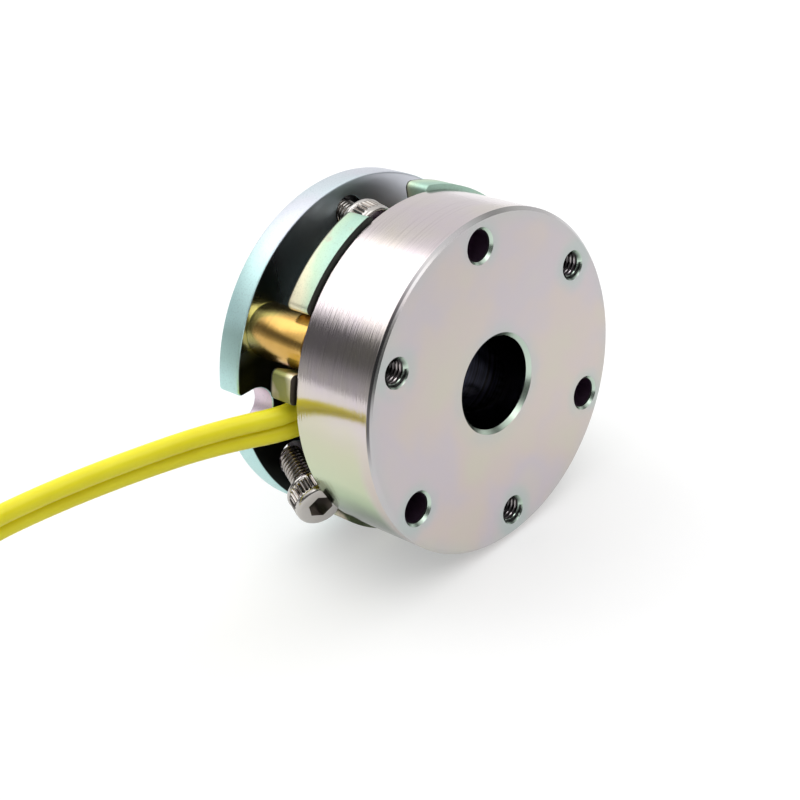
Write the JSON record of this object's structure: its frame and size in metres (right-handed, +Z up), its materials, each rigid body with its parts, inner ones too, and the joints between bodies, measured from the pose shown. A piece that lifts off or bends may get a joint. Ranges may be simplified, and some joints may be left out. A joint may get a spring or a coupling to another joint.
{
  "type": "stepper motor brake",
  "caption": "Small power-off brake for a stepper motor: mounting plate, collars, slotted armature, magnet cup with threaded holes, loose mounting screws and two leads.",
  "frame": {"origin": "centre of the mounting plate's rear face, the face that meets the motor", "axes": "+Y out of the mounting face towards the motor, +Z up through the top mounting hole, +X to the right seen from the stator's front face"},
  "size_m": [0.1222, 0.0306, 0.039],
  "materials": {
    "plate_steel": "zinc plated, fine matte",
    "stator_steel": "zinc plated, turned",
    "armature_steel": "zinc plated, ground",
    "carrier_steel": "machined",
    "screw_steel": "nickel plated",
    "brass": "turned, polished",
    "lining": "friction lining",
    "bobbin_plastic": "moulded",
    "potting_resin": "cast resin",
    "winding_wire": "enamelled copper wire",
    "lead_insulation": "soft satin insulation"
  },
  "bodies": {
    "brake_body": {"mounting_plate": "plate_steel", "spacer_collar_left": "brass", "spacer_collar_right": "brass", "spacer_collar_bottom": "brass", "assembly_screws": "screw_steel", "stator_housing": "stator_steel", "coil_bobbin": "bobbin_plastic", "coil_winding": "winding_wire", "potting_ring": "potting_resin", "torque_springs": "screw_steel", "lead_wire_upper": "lead_insulation", "lead_wire_lower": "lead_insulation", "lead_coil_upper": "lead_insulation", "lead_coil_lower": "lead_insulation"},
    "armature": {"armature": "armature_steel"},
    "hub": {"hub": "carrier_steel", "hub_set_screw": "screw_steel"},
    "friction_disc": {"disc_carrier": "carrier_steel", "lining_rear": "lining", "lining_front": "lining"},
    "top_screw": {"mounting_screw_top": "screw_steel"},
    "left_screw": {"mounting_screw_left": "screw_steel"},
    "right_screw": {"mounting_screw_right": "screw_steel"}
  },
  "joints": [
    {"name": "armature_release", "type": "slide", "parent": "brake_body", "child": "armature", "axis": [0, -1, 0], "range_m": [0, 0.0002], "stiffness_N_per_m": 1000, "springref_m": -0.0015},
    {"name": "hub_spin", "type": "hinge", "parent": "brake_body", "child": "hub", "pos_m": [0, 0, 0], "axis": [0, 1, 0], "continuous": true},
    {"name": "disc_float", "type": "slide", "parent": "hub", "child": "friction_disc", "axis": [0, -1, 0], "range_m": [0, 0.0001]},
    {"name": "top_screw_rock", "type": "hinge", "parent": "brake_body", "child": "top_screw", "pos_m": [-0.00021, -0.00295, 0.01586], "axis": [-0.3584, 0, 0.9336], "range_deg": [0, 10.5]},
    {"name": "left_screw_rock", "type": "hinge", "parent": "brake_body", "child": "left_screw", "pos_m": [-0.01403, -0.00295, -0.00796], "axis": [-0.5835, 0, 0.8121], "range_deg": [0, 26]},
    {"name": "right_screw_feed", "type": "slide", "parent": "brake_body", "child": "right_screw", "axis": [0, 1, 0], "range_m": [0, 0.00375]}
  ],
  "couplings": [
    {"joint": "disc_float", "follows": "armature_release", "ratio": 0.5}
  ]
}
